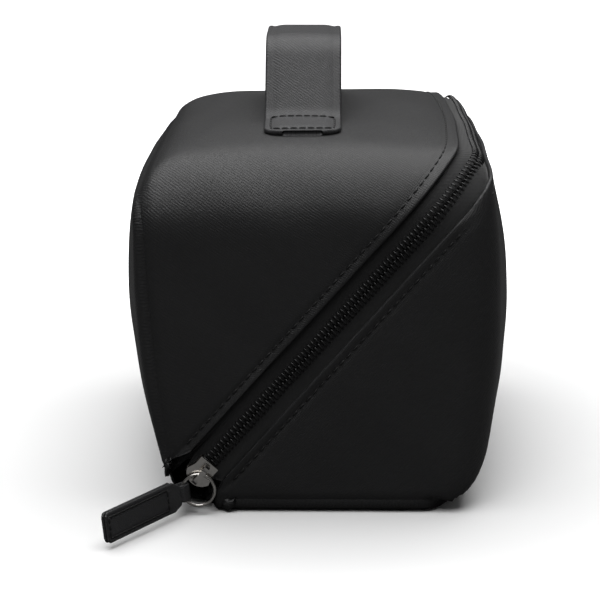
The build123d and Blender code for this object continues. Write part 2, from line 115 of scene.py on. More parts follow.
def case_field(p, puffed=True):
    """Distance in front of the case's leather, negative inside it.

    Each wall is a height function: a leaning line plus a bulge that is a parabola across
    the wall, higher at mid-length.  Walls meet in rounded corners.  The puffed leather
    also has shallow waves above the foot, is drawn in along the seams and the stitches,
    and is thicker where it is turned at the zip.
    """
    x, y, z = p[..., 0], p[..., 1], p[..., 2]
    middle = np.clip(1.0 - (y / 115.0) ** 2, 0.0, 1.0)
    left_bow = LEFT_BOW_ENDS + (LEFT_BOW_MIDDLE - LEFT_BOW_ENDS) * middle
    right_bow = RIGHT_BOW_ENDS + (RIGHT_BOW_MIDDLE - RIGHT_BOW_ENDS) * middle
    rise = np.clip(z / TOP_LEFT_Z, 0.0, 1.0)
    lean = (TOP_LEFT_X - FLOOR_LEFT) * z / TOP_LEFT_Z
    left = FLOOR_LEFT + lean - left_bow * 4.0 * rise * (1.0 - rise) - x
    rise = np.clip(z / TOP_RIGHT_Z, 0.0, 1.0)
    lean = (TOP_RIGHT_X - FLOOR_RIGHT) * z / TOP_RIGHT_Z
    right = x - (FLOOR_RIGHT + lean + right_bow * 4.0 * rise * (1.0 - rise))
    across = np.clip((x - TOP_LEFT_X) / (TOP_RIGHT_X - TOP_LEFT_X), 0.0, 1.0)
    crown = CROWN_ENDS + (CROWN_MIDDLE - CROWN_ENDS) * middle
    panel = TOP_LEFT_Z + (TOP_RIGHT_Z - TOP_LEFT_Z) * across
    panel = panel + crown * 4.0 * across * (1.0 - across)
    ridge = RIDGE_MIDDLE - (RIDGE_MIDDLE - RIDGE_END) * (y / HALF_LENGTH) ** 2
    top = z + soft_max(-panel, -ridge, 4.0)
    end = np.abs(y) - HALF_LENGTH
    side = np.maximum(left, right)
    upright = np.maximum(top, -z)
    to_right = step(x, -30.0, 30.0)
    to_top = step(z, 40.0, 110.0)
    low_r = BOTTOM_LEFT_R + (BOTTOM_RIGHT_R - BOTTOM_LEFT_R) * to_right
    high_r = TOP_LEFT_R + (TOP_RIGHT_R - TOP_LEFT_R) * to_right
    across_corner = round_meet(side, upright, low_r + (high_r - low_r) * to_top)
    bend = round_meet(end, upright, END_FOOT_R + (END_BEND_R - END_FOOT_R) * to_top)
    plan_r = LEFT_CORNER_R + (RIGHT_CORNER_R - LEFT_CORNER_R) * to_right
    plan_corner = round_meet(end, side, plan_r)
    width = 3.0
    field = soft_max(bend, soft_max(plan_corner, across_corner, width), width) - width / 4.0
    if puffed:
        seam = x - seam_x(z)
        on_seam = np.exp(-((seam / SEAM_PINCH_WIDTH) ** 2)) * step(z, 14.0, 30.0)
        field = field + SEAM_PINCH * on_seam
        low = np.exp(-(((z - BOTTOM_SEAM) / FOOT_PINCH_WIDTH) ** 2))
        field = field + FOOT_PINCH * low
        waves = np.sin(x / 13.0 + 0.6 * np.sin(y / 17.0)) * np.sin(z / 15.0 + y / 31.0 + 1.0)
        waves = waves + 0.5 * np.sin(x / 7.0 + z / 9.0) * np.sin(y / 11.0 + 2.0 + z / 21.0)
        field = field - WAVE_HEIGHT * waves * step(z, 3.0, 14.0)
        zip_side = np.abs((p - HINGE) @ TO_LID)
        stitched = np.exp(-(((zip_side - ZIP_GAP - STITCH_INSET) / STITCH_DIP_WIDTH) ** 2))
        turned = zip_side - ZIP_GAP - TURNED_EDGE_PLACE
        turned = np.exp(-((turned / TURNED_EDGE_WIDTH) ** 2))
        field = field + (STITCH_DIP * stitched - TURNED_EDGE * turned) * step(z, 8.0, 14.0)
    return field


def slope(p):
    """Gradient of the case's field, by central differences."""
    reach = 0.05
    parts = []
    for axis in range(3):
        shift = np.zeros(3)
        shift[axis] = reach
        parts.append((case_field(p + shift) - case_field(p - shift)) / (2.0 * reach))
    return np.stack(parts, axis=-1)


def unit(v):
    """Vectors scaled to length one."""
    return v / np.maximum(np.linalg.norm(v, axis=-1, keepdims=True), 1e-9)


def onto_case(p, depth=0.0, rounds=14, hold=None):
    """Points moved along the field's slope until they lie at a depth under the leather.

    hold is a normal and an offset of a plane that the points also stay on.
    """
    p = np.array(p, dtype=float)
    farthest = 14.0
    for _ in range(rounds):
        g = slope(p)
        if hold is not None:
            normal, offset = hold
            g = g - (g @ normal)[..., None] * normal
        size = np.maximum((g * g).sum(-1), 0.05)
        move = (case_field(p) + depth) / size
        move = np.clip(move, -farthest, farthest)
        p = p - g * move[..., None]
        if hold is not None:
            p = p - ((p @ normal) - offset)[..., None] * normal
    return p


def zip_hold(across):
    """The plane at a distance across the zip, as onto_case's hold."""
    return TO_LID, float(HINGE @ TO_LID + across)


AXIS_X, AXIS_Y, AXIS_Z = np.eye(3)
LINE_POINTS = 2400
LINE_REACH_Y = 118.0


def ring_line(origin, across_axis, up_axis, reach, hold, depth):
    """Closed line where a plane cuts the case.

    An ellipse round the case in that plane is moved onto the case within the plane.  It
    starts below the near end and goes up, over the top and down the far end.
    """
    angle = np.linspace(-0.5 * math.pi, 1.5 * math.pi, LINE_POINTS)
    along = -reach[0] * np.cos(angle)
    up = reach[1] * np.sin(angle)
    guess = origin + along[:, None] * across_axis + up[:, None] * up_axis
    return onto_case(guess, depth, rounds=30, hold=hold)


def at_pitch(line, pitch, phase=0.0):
    """Points at a steady pitch along a line, from a share of a pitch."""
    gaps = np.linalg.norm(np.diff(line, axis=0), axis=1)
    run = np.concatenate([[0.0], np.cumsum(gaps)])
    at = np.arange(phase * pitch, run[-1], pitch)
    return np.stack([np.interp(at, run, line[:, k]) for k in range(3)], axis=1)


def zip_line(across, depth, low=ZIP_START):
    """Line at a distance across the zip, up the near end, along the top and down again."""
    middle = HINGE + across * TO_LID + 95.0 * ALONG
    line = ring_line(middle, AXIS_Y, ALONG, (LINE_REACH_Y, 115.0), zip_hold(across), depth)
    return line[(line - HINGE) @ ALONG > low]


def seam_line(depth, low):
    """Line of the left seam over a height, from the near end over the top to the far end."""
    middle = np.array([seam_x(75.0), 0.0, 75.0])
    line = ring_line(middle, AXIS_Y, AXIS_Z, (LINE_REACH_Y, 84.0), (AXIS_X, middle[0]), depth)
    for _ in range(8):
        line = onto_case(line, depth, rounds=4, hold=(AXIS_X, seam_x(line[:, 2])))
    return line[line[:, 2] > low]


def rim_line(depth, height, left_end):
    """Line round the foot at a height, near left to far left round the right side."""
    middle = np.array([5.0, 0.0, height])
    hold = (AXIS_Z, height)
    line = ring_line(middle, AXIS_Y, AXIS_X, (LINE_REACH_Y, 82.0), hold, depth)
    return line[line[:, 0] > left_end]


def tangents(path):
    """Unit tangents of an open path."""
    return unit(np.gradient(path, axis=0))


def grid_normals(grid):
    """Unit normals of a grid of points."""
    return unit(np.cross(np.gradient(grid, axis=0), np.gradient(grid, axis=1)))


def quads(rows, cols, wrap=False):
    """Faces of a grid, as four corners each, closed across its columns if wrapped."""
    index = np.arange(rows * cols).reshape(rows, cols)
    if wrap:
        index = np.concatenate([index, index[:, :1]], axis=1)
    a, b = index[:-1, :-1], index[1:, :-1]
    c, d = index[1:, 1:], index[:-1, 1:]
    return np.stack([a, b, c, d], axis=-1).reshape(-1, 4)


def make_object(name, points, faces, slots=(), smooth=True, sharp_angle=None):
    """A mesh object from points in millimetres and faces as lists of corners."""
    mesh = bpy.data.meshes.new(name)
    mesh.from_pydata((np.asarray(points) * MM).tolist(), [], faces)
    mesh.validate()
    mesh.polygons.foreach_set("use_smooth", [smooth] * len(mesh.polygons))
    for material in slots:
        mesh.materials.append(material)
    piece = bpy.data.objects.new(name, mesh)
    bpy.context.scene.collection.objects.link(piece)
    if sharp_angle is not None:
        mesh.set_sharp_from_angle(angle=sharp_angle)
    return piece


def store_flat(piece, flat):
    """Keep each point's place in the flat pattern, in metres, as an attribute."""
    layer = piece.data.attributes.new("flat", "FLOAT_VECTOR", "POINT")
    values = np.zeros((len(piece.data.vertices), 3))
    values[:, : flat.shape[1]] = flat * MM
    layer.data.foreach_set("vector", values.ravel())


def shell(name, outer, flat, thickness, body, material, rim=4, facing=None):
    """A closed sheet of leather: outer grid, rounded long edges and an inner face.

    Each row becomes one loop: the outer points, a half circle over one edge, the inner
    points in turn, and a half circle back.  flat is each outer point's place in the
    pattern, with the distance to the zip's edge as its third value.  facing is the way the
    outer side looks, and the case's own slope if it isn't given.
    """
    rows, cols, _ = outer.shape
    normal = grid_normals(outer)
    if facing is None:
        facing = slope(outer)
    if (normal * facing).sum() < 0:
        outer, flat, normal = outer[::-1], flat[::-1], -normal[::-1]
    thickness = np.broadcast_to(thickness, (rows, cols, 1))
    inner = outer - normal * thickness
    angle = np.linspace(0.0, math.pi, rim + 2)[1:-1]
    last, first = unit(outer[:, -1] - outer[:, -2]), unit(outer[:, 0] - outer[:, 1])

    def edge(column, away, turn):
        half = thickness[:, column, None] / 2.0
        middle = outer[:, column, None] - normal[:, column, None] * half
        swing = np.cos(turn)[None, :, None] * normal[:, column][:, None]
        return middle + half * (swing + np.sin(turn)[None, :, None] * away[:, None])

    loop = [outer, edge(-1, last, angle), inner[:, ::-1], edge(0, first, angle[::-1])]
    loop = np.concatenate(loop, axis=1)
    wide = loop.shape[1]
    ends = [np.repeat(flat[:, -1:], rim, 1), flat[:, ::-1], np.repeat(flat[:, :1], rim, 1)]
    spread = np.concatenate([flat] + ends, axis=1)
    faces = quads(rows, wide, wrap=True)[:, ::-1].tolist()
    here = np.arange(cols - 1)
    there = cols + rim + (cols - 1 - here)
    cap = np.stack([here, here + 1, there - 1, there], axis=1)
    bottom = (rows - 1) * wide
    faces += cap.tolist() + (cap[:, ::-1] + bottom).tolist()
    right = list(range(cols - 1, cols + rim + 1))
    left = list(range(2 * cols + rim - 1, 2 * cols + 2 * rim)) + [0]
    faces += [right, left]
    faces += [[k + bottom for k in side[::-1]] for side in (right, left)]
    piece = make_object(name, loop.reshape(-1, 3), faces, [material])
    store_flat(piece, spread.reshape(-1, 3))
    if body:
        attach(piece, body)
    return piece


def tubes(name, centres, axis_a, axis_b, profile_path, radius, sides, body, material):
    """Many short bent bars, each swept along the same small path in its own axes.

    profile_path holds steps along axis_a, along axis_b and along their cross product.
    Each bar is a tube of the given radius, or radii, round that path, closed at both ends.
    """
    out = unit(np.cross(axis_a, axis_b))
    a, b, c = profile_path[:, 0], profile_path[:, 1], profile_path[:, 2]
    spine = (
        centres[:, None]
        + a[None, :, None] * axis_a[:, None]
        + b[None, :, None] * axis_b[:, None]
        + c[None, :, None] * out[:, None]
    )
    heading = unit(np.gradient(profile_path, axis=0))
    side_axis = AXIS_X if abs(heading[:, 0]).max() < 0.9 else AXIS_Y
    second = unit(np.cross(heading, side_axis))
    first = np.cross(second, heading)
    turn = np.linspace(0.0, 2 * math.pi, sides, endpoint=False)
    ring = (
        np.cos(turn)[None, :, None] * first[:, None]
        + np.sin(turn)[None, :, None] * second[:, None]
    ) * np.broadcast_to(radius, profile_path.shape[:1])[:, None, None]
    world = (
        ring[None, ..., 0:1] * axis_a[:, None, None]
        + ring[None, ..., 1:2] * axis_b[:, None, None]
        + ring[None, ..., 2:3] * out[:, None, None]
    )
    points = spine[:, :, None] + world
    count, length = len(centres), len(profile_path)
    one = quads(length, sides, wrap=True)
    size = length * sides
    shift = (np.arange(count) * size)[:, None, None]
    faces = (one[None] + shift).reshape(-1, 4).tolist()
    caps = np.arange(sides)[None] + (np.arange(count) * size)[:, None]
    faces += caps.tolist() + (caps[:, ::-1] + size - sides).tolist()
    piece = make_object(name, points.reshape(-1, 3), faces, [material])
    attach(piece, body)
    return piece


# ---------------------------------------------------------------- materials


def linear(code):
    """Linear colour of an sRGB hex code."""
    values = [int(code[k : k + 2], 16) / 255.0 for k in (0, 2, 4)]
    values = [v / 12.92 if v <= 0.04045 else ((v + 0.055) / 1.055) ** 2.4 for v in values]
    return (*values, 1.0)


# A wave texture's bands have a period of 2 pi / (20 x scale)
WAVE_SCALE = 2.0 * math.pi / 20.0


class Recipe:
    """A material's node tree, to which nodes are added one by one."""

    def __init__(self, name):
        self.material = bpy.data.materials.new(name)
        self.material.use_nodes = True
        self.tree = self.material.node_tree
        self.shader = self.tree.nodes["Principled BSDF"]

    def add(self, kind, settings=None, **inputs):
        """Add a node with its settings; an input is a value or another node's output."""
        node = self.tree.nodes.new(kind)
        for key, value in (settings or {}).items():
            setattr(node, key, value)
        for key, value in inputs.items():
            socket = node.inputs[int(key[1:])] if key[0] == "i" and key[1:].isdigit() else None
            if socket is None:
                socket = node.inputs[key.replace("_", " ")]
            self.feed(socket, value)
        return node

    def feed(self, socket, value):
        if isinstance(value, bpy.types.NodeSocket):
            self.tree.links.new(value, socket)
        else:
            socket.default_value = value

    def finish(self, **inputs):
        for key, value in inputs.items():
            self.feed(self.shader.inputs[key.replace("_", " ")], value)
        return self.material


def math_node(recipe, operation, first, second=0.0):
    """One arithmetic step."""
    return recipe.add("ShaderNodeMath", {"operation": operation}, i0=first, i1=second).outputs[0]


def leatherette(name, line_turn, dark="1a1a1b", light="272728"):
    """Cross-grained embossed leatherette: two sets of fine broken ridges that cross."""
    r = Recipe(name)
    source = r.add("ShaderNodeAttribute", {"attribute_name": "flat"}).outputs["Vector"]
    warp = r.add("ShaderNodeTexNoise", Vector=source, Scale=260.0, Detail=2.0).outputs["Color"]
    bend = r.add("ShaderNodeVectorMath", {"operation": "SCALE"}, i0=warp, Scale=0.0011)
    moved = r.add("ShaderNodeVectorMath", {"operation": "ADD"}, i0=source, i1=bend.outputs[0])
    ridges = []
    for turn, spacing, break_scale in ((line_turn, 1.15, 420.0), (line_turn + 82.0, 0.8, 700.0)):
        mapped = r.add("ShaderNodeMapping", {"vector_type": "POINT"}, Vector=moved.outputs[0])
        mapped.inputs["Rotation"].default_value = (0.0, 0.0, math.radians(turn))
        wave = r.add(
            "ShaderNodeTexWave",
            {"wave_type": "BANDS", "bands_direction": "Y"},
            Vector=mapped.outputs[0],
            Scale=WAVE_SCALE / (spacing * MM),
            Distortion=1.2,
            Detail=2.0,
        )
        wave.inputs["Detail Scale"].default_value = 2.0
        turned = mapped.outputs[0]
        broken = r.add("ShaderNodeTexNoise", Vector=turned, Scale=break_scale, Detail=1.0)
        strength = math_node(r, "MULTIPLY", wave.outputs["Fac"], broken.outputs["Fac"])
        ridges.append(strength)
    emboss = math_node(r, "MAXIMUM", ridges[0], ridges[1])
    pores = r.add("ShaderNodeTexNoise", Vector=source, Scale=1800.0, Detail=2.0)
    height = math_node(r, "ADD", emboss, math_node(r, "MULTIPLY", pores.outputs["Fac"], 0.25))
    bump = r.add("ShaderNodeBump", Height=height, Strength=0.55, Distance=0.00035)
    broad = r.add("ShaderNodeTexNoise", Vector=source, Scale=22.0, Detail=3.0)
    from_emboss = math_node(r, "MULTIPLY", emboss, 0.7)
    tint = math_node(r, "ADD", from_emboss, math_node(r, "MULTIPLY", broad.outputs["Fac"], 0.3))
    colour = r.add("ShaderNodeMix", {"data_type": "RGBA"})
    r.feed(colour.inputs[0], tint)
    r.feed(colour.inputs[6], linear(dark))
    r.feed(colour.inputs[7], linear(light))
    rough = r.add("ShaderNodeMapRange", Value=emboss)
    rough.inputs["To Min"].default_value = 0.58
    rough.inputs["To Max"].default_value = 0.40
    return r.finish(
        Base_Color=colour.outputs[2],
        Roughness=rough.outputs[0],
        Normal=bump.outputs[0],
        Specular_IOR_Level=0.5,
    )


def plain_material(name, code, roughness, grain=900.0, depth=0.0002, metallic=0.0, sheen=0.0):
    """A material with a fine grain in its colour, roughness and surface."""
    r = Recipe(name)
    place = r.add("ShaderNodeTexCoord").outputs["Object"]
    noise = r.add("ShaderNodeTexNoise", Vector=place, Scale=grain, Detail=3.0)
    bump = r.add("ShaderNodeBump", Height=noise.outputs["Fac"], Strength=0.4, Distance=depth)
    base = linear(code)
    colour = r.add("ShaderNodeMix", {"data_type": "RGBA"})
    r.feed(colour.inputs[0], noise.outputs["Fac"])
    r.feed(colour.inputs[6], tuple(0.8 * v for v in base[:3]) + (1.0,))
    r.feed(colour.inputs[7], tuple(min(1.2 * v, 1.0) for v in base[:3]) + (1.0,))
    rough = r.add("ShaderNodeMapRange", Value=noise.outputs["Fac"])
    rough.inputs["To Min"].default_value = max(roughness - 0.06, 0.0)
    rough.inputs["To Max"].default_value = roughness + 0.06
    return r.finish(
        Base_Color=colour.outputs[2],
        Roughness=rough.outputs[0],
        Normal=bump.outputs[0],
        Metallic=metallic,
        Sheen_Weight=sheen,
    )


def woven(name, code, pitch):
    """Plain weave: two crossed sets of rounded yarns."""
    r = Recipe(name)
    place = r.add("ShaderNodeTexCoord").outputs["Object"]
    waves = []
    for direction in ("X", "Z"):
        waves.append(
            r.add(
                "ShaderNodeTexWave",
                {"wave_type": "BANDS", "bands_direction": direction},
                Vector=place,
                Scale=WAVE_SCALE / (pitch * MM),
                Distortion=0.4,
            ).outputs["Fac"]
        )
    yarns = math_node(r, "MAXIMUM", waves[0], waves[1])
    bump = r.add("ShaderNodeBump", Height=yarns, Strength=0.5, Distance=0.0003)
    base = linear(code)
    colour = r.add("ShaderNodeMix", {"data_type": "RGBA"})
    r.feed(colour.inputs[0], yarns)
    r.feed(colour.inputs[6], tuple(0.5 * v for v in base[:3]) + (1.0,))
    r.feed(colour.inputs[7], base)
    return r.finish(
        Base_Color=colour.outputs[2], Roughness=0.85, Normal=bump.outputs[0], Sheen_Weight=0.2
    )


lid_leather = leatherette("black_leatherette_lid", 38.0)
base_leather = leatherette("black_leatherette_base", -45.0)
strap_leather = leatherette("black_leatherette_strap", 38.0, dark="262627", light="39393b")
lining_cloth = woven("black_lining", "2a2a2b", 0.6)
tape_cloth = woven("black_zip_tape", "161617", 0.5)
nylon = plain_material("black_nylon_coil", "1c1c1d", 0.28, grain=1500.0, depth=0.00005)
thread = plain_material("black_thread", "0d0d0e", 0.6, grain=2500.0, depth=0.0002)
nickel = plain_material("polished_nickel", "c9c6c2", 0.2, grain=500.0, depth=0.00002, metallic=1.0)
board_stuff = plain_material("grey_board", "3a3937", 0.7)
foam_stuff = plain_material("black_foam", "262627", 0.95, grain=1200.0, depth=0.0005)

# ---------------------------------------------------------------- leather panels


def zip_x(z, across):
    """X where the plane at a distance across the zip has a height."""
    start = HINGE + across * TO_LID
    return start[0] + (z - start[2]) * math.cos(ZIP_ANGLE) / math.sin(ZIP_ANGLE)


def even(path, count):
    """A path sampled at a number of even steps."""
    gaps = np.linalg.norm(np.diff(path, axis=0), axis=1)
    run = np.concatenate([[0.0], np.cumsum(gaps)])
    at = np.linspace(0.0, run[-1], count)
    return np.stack([np.interp(at, run, path[:, k]) for k in range(3)], axis=1)


def relax(grid, depth, passes):
    """Even out a grid on the case: average inner points, then move them onto it again."""
    for _ in range(passes):
        around = grid[:-2, 1:-1] + grid[2:, 1:-1] + grid[1:-1, :-2] + grid[1:-1, 2:]
        grid[1:-1, 1:-1] = onto_case(around / 4.0, depth, rounds=2)
    return grid


def strip_grid(first, last, depth, rows, cols):
    """A strip between two lines: straight rows from one to the other, moved onto the case."""
    first, last = even(first, rows), even(last, rows)
    share = np.linspace(0.0, 1.0, cols)[None, :, None]
    grid = first[:, None] * (1 - share) + last[:, None] * share
    grid[:, 1:-1] = onto_case(grid[:, 1:-1], depth, rounds=12)
    return relax(grid, depth, 40)


def across_zip(grid):
    """Distance of points from the zip's plane."""
    return np.abs((grid - HINGE) @ TO_LID)


def run_of(path):
    """Distance along a path at each of its points."""
    gaps = np.linalg.norm(np.diff(path, axis=0), axis=1)
    return np.concatenate([[0.0], np.cumsum(gaps)])


def coons(bottom, top, near, far):
    """Points inside four border lines, each border blended towards the one opposite."""
    rows, cols = len(near), len(bottom)
    v = np.linspace(0.0, 1.0, rows)[:, None, None]
    u = np.linspace(0.0, 1.0, cols)[None, :, None]
    ruled = (1 - v) * bottom[None] + v * top[None] + (1 - u) * near[:, None] + u * far[:, None]
    corners = (
        (1 - v) * (1 - u) * bottom[0]
        + (1 - v) * u * bottom[-1]
        + v * (1 - u) * top[0]
        + v * u * top[-1]
    )
    return ruled - corners


def patch_grid(bottom, top, near, far, outward, push, depth):
    """A panel inside four lines, swollen outward and moved onto the case."""
    grid = coons(bottom, top, near, far)
    rows, cols = len(near), len(bottom)
    v = np.linspace(0.0, 1.0, rows)[:, None, None]
    u = np.linspace(0.0, 1.0, cols)[None, :, None]
    grid = grid + push * (np.sin(math.pi * u) * np.sin(math.pi * v)) ** 0.35 * outward
    grid[1:-1, 1:-1] = onto_case(grid[1:-1, 1:-1], depth, rounds=24)
    return relax(grid, depth, 60)


def lid_wrap_grid(depth, across, rows, cols):
    """The strip over both ends and the top, between the left seam and the zip's edge."""
    corner = 20.0
    seam = seam_line(depth, corner + 1.5)
    edge = zip_line(across, depth, low=0.0)
    edge = edge[edge[:, 2] > corner + 1.0]
    grid = strip_grid(seam, edge, depth, rows, cols)
    up = np.repeat(run_of(grid[:, cols // 2])[:, None], cols, 1)
    return grid, np.stack([grid[..., 0], up, across_zip(grid)], axis=-1)


def left_panel_grid(depth, across, rows, cols):
    """The bulging left side: a patch between the seam on three sides and the hinge edge."""
    seam = seam_line(depth, 19.0)
    corner = 128.0
    first = int(np.argmax(seam[:, 2] > corner))
    last = len(seam) - 1 - int(np.argmax(seam[::-1, 2] > corner))
    near = even(seam[: first + 1], rows)
    top = even(seam[first : last + 1], cols)
    far = even(seam[last:][::-1], rows)
    y = np.linspace(near[0, 1], far[0, 1], 400)
    low = np.stack([-66.0 - 8.0 * (1 - (y / HALF_LENGTH) ** 2), y, np.full(400, 12.0)], axis=1)
    low = onto_case(low, depth, rounds=30, hold=zip_hold(across))
    low[0], low[-1] = near[0], far[0]
    grid = patch_grid(even(low, cols), top, near, far, -SEAM_NORMAL, 24.0, depth)
    return grid, np.stack([grid[..., 1], grid[..., 2], across_zip(grid)], axis=-1)


def base_wrap_grid(depth, across, low, rows, cols):
    """The strip round both ends and the right side, between the bottom seam and the zip."""
    foot_x = zip_x(low, -across)
    rim = rim_line(depth, low, foot_x + 1.5)
    edge = zip_line(-across, depth, low=0.0)
    edge = edge[edge[:, 2] > low + 1.5]
    grid = strip_grid(rim, edge, depth, rows, cols)
    round_case = np.repeat(run_of(grid[:, cols // 2])[:, None], cols, 1)
    return grid, np.stack([round_case, grid[..., 2], across_zip(grid)], axis=-1)


def bottom_grid(depth, across, low, rows, cols):
    """The bottom: a patch from the left edge to the right, turned up to the seam."""
    foot_x = zip_x(low, -across)
    rim = rim_line(depth, low, foot_x + 1.5)
    corner = 96.0
    first = int(np.argmax((rim[:, 1] > -corner) & (rim[:, 0] > 0)))
    last = len(rim) - 1 - int(np.argmax((rim[::-1, 1] < corner) & (rim[::-1, 0] > 0)))
    near = even(rim[: first + 1], rows)
    right = even(rim[first : last + 1], cols)
    far = even(rim[last:][::-1], rows)
    y = np.linspace(near[0, 1], far[0, 1], 400)
    left = np.stack([np.full(400, -54.0), y, np.full(400, 1.0)], axis=1)
    left = onto_case(left, depth, rounds=30, hold=zip_hold(-across))
    left[0], left[-1] = near[0], far[0]
    grid = patch_grid(even(left, cols), right, near, far, -AXIS_Z, 8.0, depth)
    return grid, np.stack([grid[..., 0], grid[..., 1], across_zip(grid)], axis=-1)


EDGE = ZIP_GAP + LEATHER / 2
PANELS = (
    ("lid_wrap_leather", lid_wrap_grid(0.0, EDGE, 230, 64), "lid", lid_leather, "lid_wrap_panel"),
    ("lid_left_leather", left_panel_grid(0.0, EDGE, 80, 120), "lid", lid_leather, "lid_left_panel"),
    (
        "base_wrap_leather",
        base_wrap_grid(0.0, EDGE, BOTTOM_SEAM, 230, 56),
        "base",
        base_leather,
        "base_wrap_panel",
    ),
    (
        "base_bottom_leather",
        bottom_grid(0.0, EDGE, BOTTOM_SEAM, 70, 110),
        "base",
        base_leather,
        "base_bottom_panel",
    ),
)
for name, (grid, flat), body, material, node in PANELS:
    panel = shell(name, grid, flat, LEATHER, body, material)
    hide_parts(node)

# Foam, boards and lining under the leather, on the same grids at growing depths
PAD_DEPTH, PAD, PAD_EDGE = 2.4, 2.1, 12.5
BOARD_UNDER, BOARD = 2.2, 0.8
LINING_UNDER, LINING = 3.2, 0.5
BOARD_SPANS = {
    "top_board": (slice(42, 78), slice(3, -3)),
    "floor_board": (slice(5, -5), slice(6, -6)),
}
PADS = (
    ("lid_wrap", lid_wrap_grid(PAD_DEPTH, PAD_EDGE, 120, 36), "lid", "top_board"),
    ("lid_left", left_panel_grid(PAD_DEPTH, PAD_EDGE, 50, 70), "lid", None),
    ("base_wrap", base_wrap_grid(PAD_DEPTH, PAD_EDGE, BOTTOM_SEAM, 120, 36), "base", None),
    ("base_bottom", bottom_grid(PAD_DEPTH, PAD_EDGE, BOTTOM_SEAM, 50, 70), "base", "floor_board"),
)
for name, (grid, flat), body, board_node in PADS:
    inward = -unit(slope(grid))
    pad = shell(f"{name}_padding", grid, flat, PAD, body, foam_stuff)
    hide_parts(f"{body}_foam")
    lining = shell(f"{name}_lining", grid + LINING_UNDER * inward, flat, LINING, body, lining_cloth)
    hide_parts(f"{body}_lining")
    if board_node:
        span = BOARD_SPANS[board_node]
        sheet = (grid + BOARD_UNDER * inward)[span]
        board = shell(f"{board_node}_sheet", sheet, flat[span], BOARD, body, board_stuff)
        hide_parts(board_node)

# ---------------------------------------------------------------- hinge and zip


def hinge_grid(depth):
    """The soft hinge: rows across the zip's plane, columns along the case."""
    y = np.linspace(-99.0, 99.0, 90)
    across = np.linspace(-EDGE - 1.5, EDGE + 1.5, 14)
    lines = []
    for n in across:
        low = HINGE + n * TO_LID - 6.0 * ALONG + y[:, None] * AXIS_Y
        lines.append(onto_case(low, depth, rounds=30, hold=zip_hold(n)))
    grid = np.stack(lines, axis=1)
    return grid, np.stack([grid[..., 1], grid[..., 2], across_zip(grid)], axis=-1)


grid, flat = hinge_grid(1.0)
hinge = shell("hinge_leather", grid, flat, 0.9, None, lid_leather)
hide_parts("hinge_strip")
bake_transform(hinge)

TAPE_DEPTH, TAPE, TAPE_INNER, TAPE_OUTER, TAPE_COLS = 2.0, 0.55, 0.35, 13.6, 9
COIL_RADIUS, COIL_START, SLIDER_REACH = 0.38, 9.0, 6.8
for side, body in ((1, "lid"), (-1, "base")):
    spread = np.linspace(TAPE_INNER, TAPE_OUTER, TAPE_COLS)
    lines = [even(zip_line(side * n, TAPE_DEPTH), 330) for n in spread]
    grid = np.stack(lines, axis=1)
    up = np.repeat(run_of(lines[0])[:, None], TAPE_COLS, 1)
    flat = np.stack([up, across_zip(grid)], axis=-1)
    flat = np.concatenate([flat, across_zip(grid)[..., None]], axis=-1)
    tape = shell(f"tape_{body}", grid, flat, TAPE, body, tape_cloth, rim=2)
    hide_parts(f"zip_tape_{body}")

# Path of one coil bar: along the zip, across it and out of the tape
COIL_LOOP = np.array(
    [
        (-0.15, 3.25, 0.05),
        (-0.1, 2.95, 0.55),
        (0.0, 2.3, 0.98),
        (0.05, 1.5, 1.12),
        (0.1, 0.7, 1.02),
        (0.1, 0.1, 0.72),
        (0.1, -0.3, 0.3),
    ]
)
SLIDER_UP = float((np.array([-49.2, 0.0, 18.4]) - HINGE) @ ALONG)


def coil(name, side, phase, keep, body, nodes):
    """One row of the coil: a bent nylon bar at each pitch, from the tape to past the middle."""
    line = zip_line(0.0, TAPE_DEPTH)
    spots = at_pitch(line, COIL_PITCH, phase)
    way = unit(np.gradient(spots, axis=0))
    chosen = keep(spots)
    spots, way = spots[chosen], way[chosen]
    across = np.broadcast_to(TO_LID, spots.shape)
    loop = COIL_LOOP * [1.0, side, 1.0]
    piece = tubes(name, spots, way, across, loop, COIL_RADIUS, 7, body, nylon)
    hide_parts(*nodes)
    return piece


def height_up(spots):
    """How far up the zip points lie."""
    return (spots - HINGE) @ ALONG


def past_slider(spots):
    """Bars of the lid's row outside the parked slider."""
    near = spots[:, 1] < 0
    up = height_up(spots)
    return (~near & (up > COIL_START)) | (up > SLIDER_UP + SLIDER_REACH)


def in_slider(spots):
    """Bars of the lid's row inside the parked slider."""
    up = height_up(spots)
    return (spots[:, 1] < 0) & (up > COIL_START) & (up <= SLIDER_UP + SLIDER_REACH)


def past_start(spots):
    """Bars past the stop at the zip's start."""
    return height_up(spots) > COIL_START


coil("coil_lid", 1, 0.5, past_slider, "lid", ["zip_coil_lid"])
coil("coil_parked", 1, 0.5, in_slider, "base", ["zip_coil_parked"])
coil("coil_base", -1, 1.0, past_start, "base", ["zip_coil_base"])

STITCH = np.zeros((6, 3))
STITCH[:, 0] = (-1.5, -1.25, -0.6, 0.6, 1.25, 1.5)
STITCH[:, 2] = (-0.45, 0.0, 0.2, 0.2, 0.0, -0.45)
STITCH_THICK = np.array([0.22, 0.36, 0.4, 0.4, 0.36, 0.22])


def stitches(name, spots, way, out, body, material):
    """A row of stitches: short rounded bars that dip into the leather at both ends."""
    across = unit(np.cross(out, way))
    piece = tubes(name, spots, way, across, STITCH, STITCH_THICK, 7, body, material)
    return piece


for side, body in ((1, "lid"), (-1, "base")):
    line = zip_line(side * (EDGE + STITCH_INSET - 1.0), 0.0, low=16.0)
    spots = at_pitch(line, STITCH_PITCH, 0.5)
    way = unit(np.gradient(spots, axis=0))
    stitches(f"edge_stitches_{body}", spots, way, unit(slope(spots)), body, thread)

# ---------------------------------------------------------------- handle


